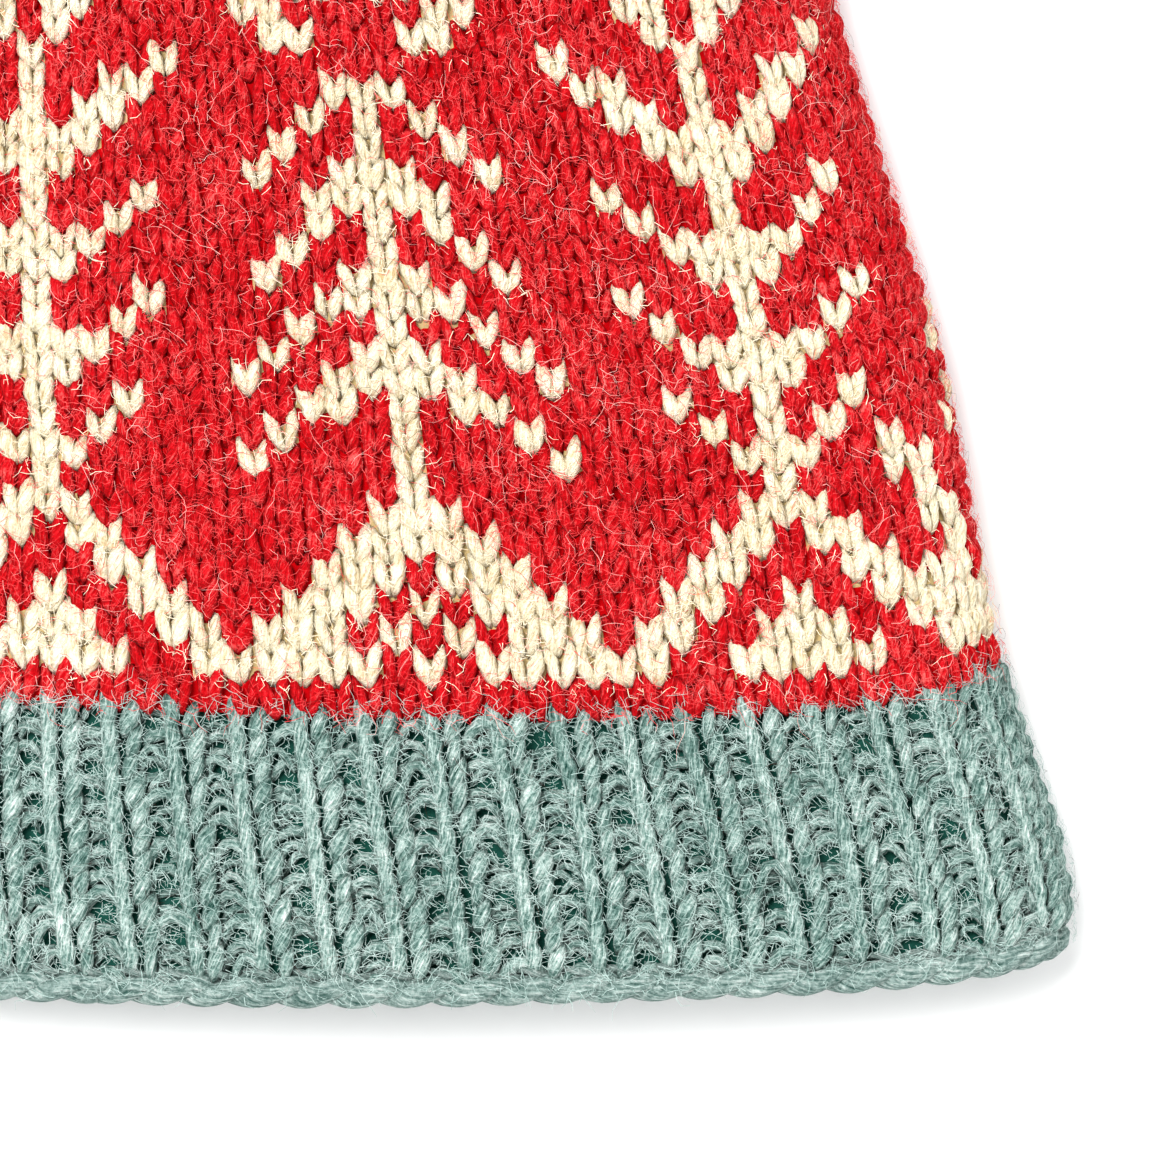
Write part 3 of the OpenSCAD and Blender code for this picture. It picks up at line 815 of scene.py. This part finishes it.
def make_hand_inside(name, hand, fingers, even, fold):
    """The wall behind the stitches from the wrist to the tip, which is all red past the first decrease,
    and the strands that draw the tip shut."""
    # Behind cream stitches this wall is a darker tan, painted shade in the gaps.
    lining = wall_piece(name + "_hand_backing", even, MIDDLE + np.arange(COLUMNS),
                        np.linspace(WRIST_AT - 1, TOTAL_LEN - 1.5, 80), CLOTH_WALL, hand, BACKING,
                        closed=True, tone=lambda c, s: np.where(s < DECREASE_AT, is_cream(c, s), 0.0))
    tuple(fold[0])
    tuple(fold[1])
    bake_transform(lining)
    gather = gathered_tip(name, hand)
    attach(gather, fingers)


def make_thumb(name, hand, rng):
    """Stitches of the thumb and its gore and the wall behind them; the gore meets the thumb at the curved
    seam.
    """
    around = thumb_surface(hand)
    seam = [as_point(around(0, v, 0)) for v in (-0.75, 0.3)]
    red, cream = thumb_stitches(name, around, hand, rng)
    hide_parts(name + "_thumb_gore", name + "_thumb", name + "_thumb_tip")
    rings = np.concatenate([np.linspace(-0.7, 0.7, 30), np.linspace(0.72, 0.985, 16)])
    wall = wall_piece(name + "_thumb_backing", around, np.arange(THUMB_COLUMNS * 2) / 2, rings, THUMB_WALL,
                      hand, BACKING, closed=True)
    for piece, slot in ((red, "red_wool"), (cream, "cream_wool"), (wall, "red_wool")):
        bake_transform(piece)


def make_mitten(name, hand, detail):
    """All pieces of one mitten but its loose fibres, from the mouth of the cuff to the tips. hand is 1 for
    the right and -1 for the left one, and detail is the faces round a leg of yarn and the rings along it."""
    rng = np.random.default_rng(20 + hand)
    body, fingers, thumb = (f"{name}_{part}" for part in ("mitten", "fingers", "thumb"))
    surface = body_surface(hand)
    even = body_surface(hand, even=True)
    fold = [(hand * (SPREAD - HAND_OFF) * MM, (s - MID_Y) * MM, TOP_Z * MM)
            for s in (FOLD_AT - FOLD_REACH, FOLD_AT + FOLD_REACH)]
    close = hand > 0
    plain = (4, 4) if close else (4, 3)
    sections = (("gauntlet", 0, 28, detail, 0.10 if close else 0.0, ("_gauntlet",)),
                ("hand", 29, 60, plain, 0.0, ("_hand",)),
                ("fingers", 61, 96, plain, 0.0, ("_fingers", "_finger_tip")))
    make_cuff(name, hand, body, surface, even, detail, rng)
    make_gauntlet_inside(name, hand, body, even)
    make_cloth(name, body, surface, fold, sections, rng)
    make_hand_inside(name, hand, fingers, even, fold)
    make_thumb(name, hand, rng)
    return body, fingers, surface, fold


# ---------------------------------------------------------------- loose fibres
def fluff(name, surface, material, count, c_range, s_range, length, lift, thick, rng, knots=6, keep=None,
          base=-0.25):
    """Loose fibres: each walks over the cloth on a curling path of so many knots and arches above base by
    lift. keep(column, distance) is True where a fibre may start; thick is the radius at its root."""
    c = rng.uniform(*c_range, count)
    s = rng.uniform(*s_range, count)
    if keep is not None:
        kept = keep(c, s)
        c, s = c[kept], s[kept]
        count = len(c)
    t = np.linspace(0, 1, knots)
    reach = rng.uniform(*length, count)[:, None]
    turn = rng.normal(0, 2.4, (count, 1)) * t + rng.normal(0, 1.6, (count, 1)) * np.sin(math.pi * t)
    angle = rng.uniform(0, TAU, (count, 1)) + turn
    dx = np.cumsum(np.cos(angle), 1) * reach / knots
    dy = np.cumsum(np.sin(angle), 1) * reach / knots
    h = base + rng.uniform(0.3, 1, (count, 1)) * lift * arch(t, 0.05, 0.85, 0.8)
    cc, ss = c[:, None] + dx / COLUMN_WIDTH, s[:, None] + dy
    wide = thick * MM * (1 - 0.55 * t) * rng.uniform(0.7, 1.2, (count, 1))
    bundle = (surface(cc, ss, h), outward_at(surface, cc, ss), wide, wide * 0.6, 3, rng.random(count))
    return yarn_piece(name, [bundle], material, smooth=False)


def add_fluff(name, hand, body, fingers, surface, fold, close):
    """Fibres that stand off the yarn: many on the parts seen from close by, fewer elsewhere."""
    rng = np.random.default_rng(70 + hand)
    near = (MIDDLE - 20, MIDDLE + 20)
    amount = 1.0 if close else 0.08
    cloth = (RIB_LEN - 1, WRIST_AT)
    cuff = (1.5, RIB_LEN)

    def on_red(c, s):
        """True over red stitches, and over one in ten cream ones."""
        return (is_cream(c, s) < 0.5) | (rng.random(len(c)) < 0.1)

    def on_cream(c, s):
        """True over cream stitches."""
        return is_cream(c, s) > 0.5

    # Label, wool, count, distances, length, lift, radius, knots, where they may start, base height, slot.
    sets = (("red_fluff", RED_FLUFF, 7800, cloth, (1.5, 4), 0.60, 0.025, 4, on_red, -0.05, "red_wool"),
            ("red_down", RED_FLUFF, 14500, cloth, (0.8, 2.2), 0.45, 0.034, 3, on_red, -0.12, "red_wool"),
            ("pale_fluff", PALE_FLUFF, 1700, cloth, (1.5, 5), 0.70, 0.021, 5, None, 0.0, "cream_wool"),
            ("cream_down", CREAM_FLUFF, 11000, cloth, (0.8, 2.4), 0.45, 0.036, 3, on_cream, 0.0,
             "cream_wool"),
            ("dark_fluff", DARK_FLUFF, 550, (4, WRIST_AT), (1.5, 7), 0.8, 0.020, 6, None, 0.05,
             "cream_wool"),
            ("cuff_fluff", GREY_FLUFF, 4500, cuff, (1.2, 4), 0.55, 0.027, 4, None, 0.0, "grey_wool"),
            ("cuff_down", GREY_FLUFF, 8000, cuff, (0.8, 2.4), 0.5, 0.034, 3, None, -0.9, "grey_wool"))
    for label, fibres, count, where, length, lift, thick, knots, keep, base, slot in sets:
        piece = fluff(f"{name}_{label}", surface, fibres, int(count * amount), near, where, length, lift,
                      thick, rng, knots, keep, base)
        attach(piece, body)
    hand_fluff = fluff(name + "_hand_fluff", surface, RED_FLUFF, 900, near, (WRIST_AT, TOTAL_LEN - 30),
                       (2, 6), 0.9, 0.036, rng, 4)
    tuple(fold[0])
    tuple(fold[1])
    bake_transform(hand_fluff)


# ---------------------------------------------------------------- camera, floor and light
def add_camera():
    """Straight above the cuff of the right mitten, from far off."""
    view = (0.1254, -0.0942, 0.020)
    distance, width = 0.700, 0.108
    data = bpy.data.cameras.new("camera")
    data.sensor_width = 36
    data.lens = data.sensor_width * distance / width
    data.clip_start, data.clip_end = 0.01, 10
    camera = bpy.data.objects.new("camera", data)
    camera.location = (view[0], view[1], view[2] + distance)
    bpy.context.scene.collection.objects.link(camera)
    bpy.context.scene.camera = camera


def add_floor():
    """A wide pale sheet under the mittens."""
    half = 9.0
    points = np.array([(-half, -half, 0), (half, -half, 0), (half, half, 0), (-half, half, 0)])
    material = bpy.data.materials.new("pale_floor")
    material.use_nodes = True
    shader = material.node_tree.nodes["Principled BSDF"]
    shader.inputs["Base Color"].default_value = (0.97, 0.97, 0.97, 1)
    shader.inputs["Roughness"].default_value = 0.9
    floor = new_piece("floor", points, np.arange(4), np.array([0]), material)


def add_lights():
    """One large soft lamp above and to the left, a weaker one opposite, and a bright even surround."""
    world = bpy.data.worlds.new("surround")
    bpy.context.scene.world = world
    world.use_nodes = True
    world.node_tree.nodes["Background"].inputs["Color"].default_value = (1.0, 1.0, 1.0, 1)
    world.node_tree.nodes["Background"].inputs["Strength"].default_value = 0.80
    target = (0.1, -0.05, 0.01)
    for name, place_at, size, power in (("key", (-0.16, 0.18, 1.0), 0.45, 15.0),
                                        ("fill", (0.7, -0.5, 0.9), 0.9, 3.5)):
        data = bpy.data.lights.new(name, "AREA")
        data.shape = "SQUARE"
        data.size = size
        data.energy = power
        lamp = bpy.data.objects.new(name, data)
        lamp.location = place_at
        aim = np.array(target) - np.array(place_at)
        lamp.rotation_euler = (math.atan2(math.hypot(aim[0], aim[1]), -aim[2]), 0,
                               math.atan2(aim[1], aim[0]) - math.pi / 2)
        bpy.context.scene.collection.objects.link(lamp)
    bpy.context.scene.view_settings.view_transform = "Standard"


add_camera()
add_floor()
add_lights()
for name, hand, detail in (("right", 1, (6, 8)), ("left", -1, (4, 4))):
    body, fingers, surface, fold = make_mitten(name, hand, detail)
    add_fluff(name, hand, body, fingers, surface, fold, close=hand > 0)
